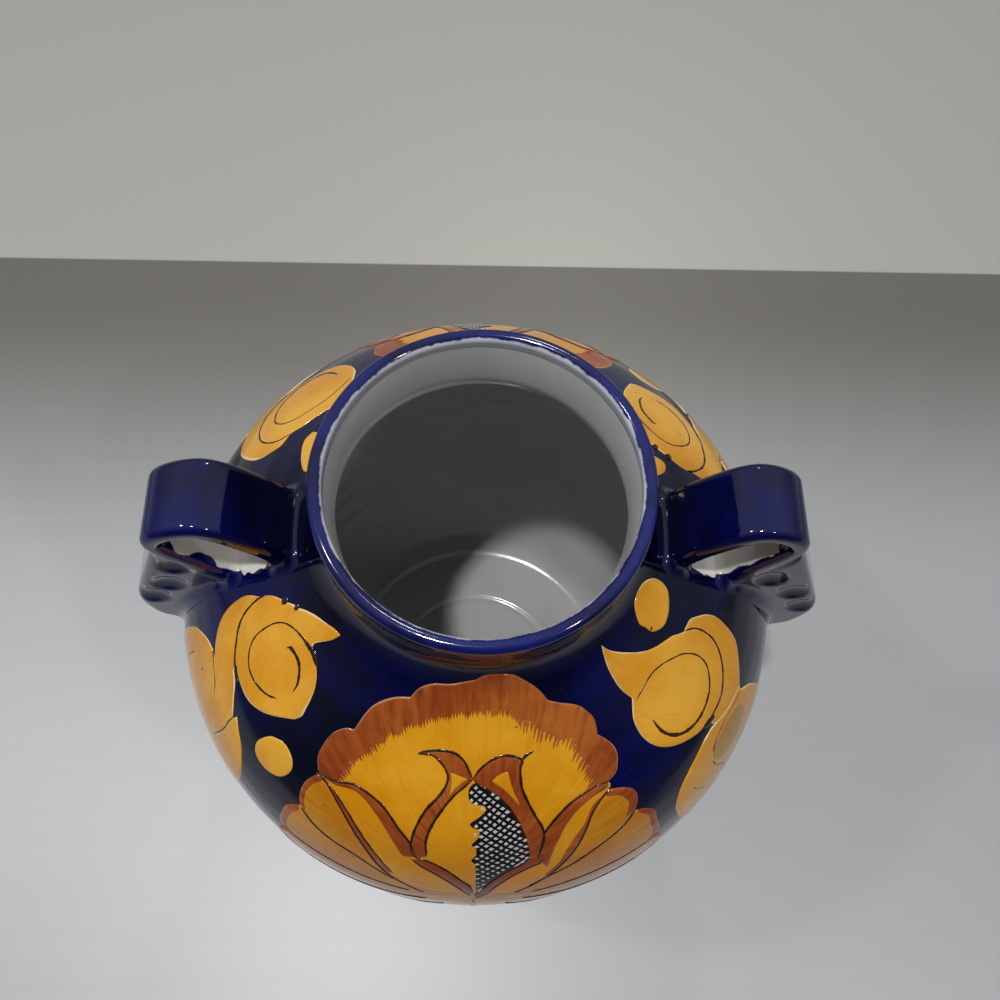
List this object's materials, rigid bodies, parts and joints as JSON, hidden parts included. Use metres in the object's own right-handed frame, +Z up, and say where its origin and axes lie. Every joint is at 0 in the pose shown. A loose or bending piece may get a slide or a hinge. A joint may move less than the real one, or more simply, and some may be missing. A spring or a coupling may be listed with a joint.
{
  "type": "two-handled clay urn",
  "caption": "Round-shouldered clay urn with a wide rolled mouth, strap handles with pressed tails, and a painted cobalt glaze.",
  "frame": {"origin": "centre of the foot pad's flat underside, where the urn stands, on the pot's own axis", "axes": "+Z up through the mouth, X through the two handles, the front flower faces -Y"},
  "size_m": [0.2851, 0.26, 0.3195],
  "materials": {
    "cobalt_glaze": "glossy dark cobalt glaze",
    "rim_glaze": "glossy brush-painted cobalt glaze",
    "white_glaze": "glossy white glaze",
    "amber_glaze": "glossy brush-painted amber yellow",
    "rust_glaze": "glossy brush-painted rust brown",
    "line_glaze": "dark brown brush line",
    "bare_clay": "bare fired clay"
  },
  "bodies": {
    "root": {"foot_pad": "bare_clay", "floor_disc": "cobalt_glaze", "heel_ring": "cobalt_glaze", "lower_ring": "cobalt_glaze", "belly_ring": "cobalt_glaze", "shoulder_ring": "cobalt_glaze", "crown_ring": "cobalt_glaze", "neck_base": "cobalt_glaze", "neck_collar": "cobalt_glaze", "rim_roll": "rim_glaze", "left_strap": "cobalt_glaze", "left_tail": "cobalt_glaze", "left_root_pad": "cobalt_glaze", "left_seat_pad": "cobalt_glaze", "right_strap": "cobalt_glaze", "right_tail": "cobalt_glaze", "right_root_pad": "cobalt_glaze", "right_seat_pad": "cobalt_glaze"}
  },
  "joints": []
}
